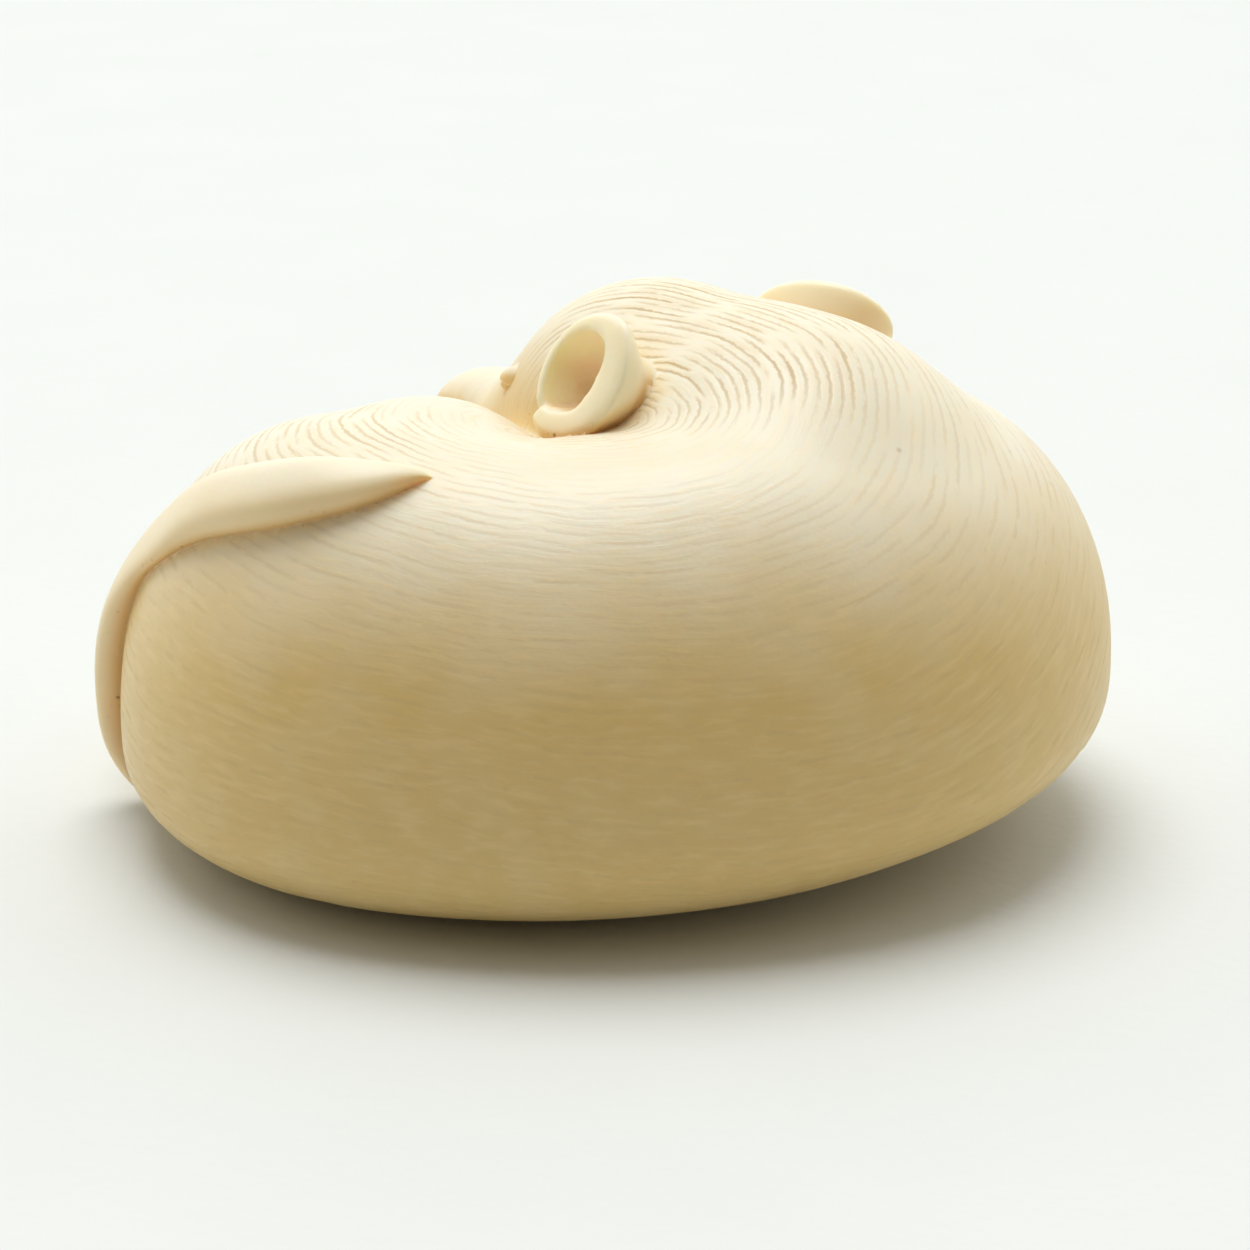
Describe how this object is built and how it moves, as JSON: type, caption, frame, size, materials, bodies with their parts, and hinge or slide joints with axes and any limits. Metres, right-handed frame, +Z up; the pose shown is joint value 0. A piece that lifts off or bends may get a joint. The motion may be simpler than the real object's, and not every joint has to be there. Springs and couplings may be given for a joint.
{
  "type": "okimono",
  "caption": "Small solid carving of a mouse curled up asleep, with round ears and its tail laid over its rump.",
  "frame": {"origin": "middle of the flat underside, at the bottom centre of the bounding box", "axes": "+X from the rump to the shoulder, +Y from the curled back to the face, +Z up"},
  "size_m": [0.0507, 0.0379, 0.0271],
  "materials": {
    "ivory": "carved and softly polished ivory"
  },
  "bodies": {
    "root": {"mouse": "ivory"}
  },
  "joints": []
}
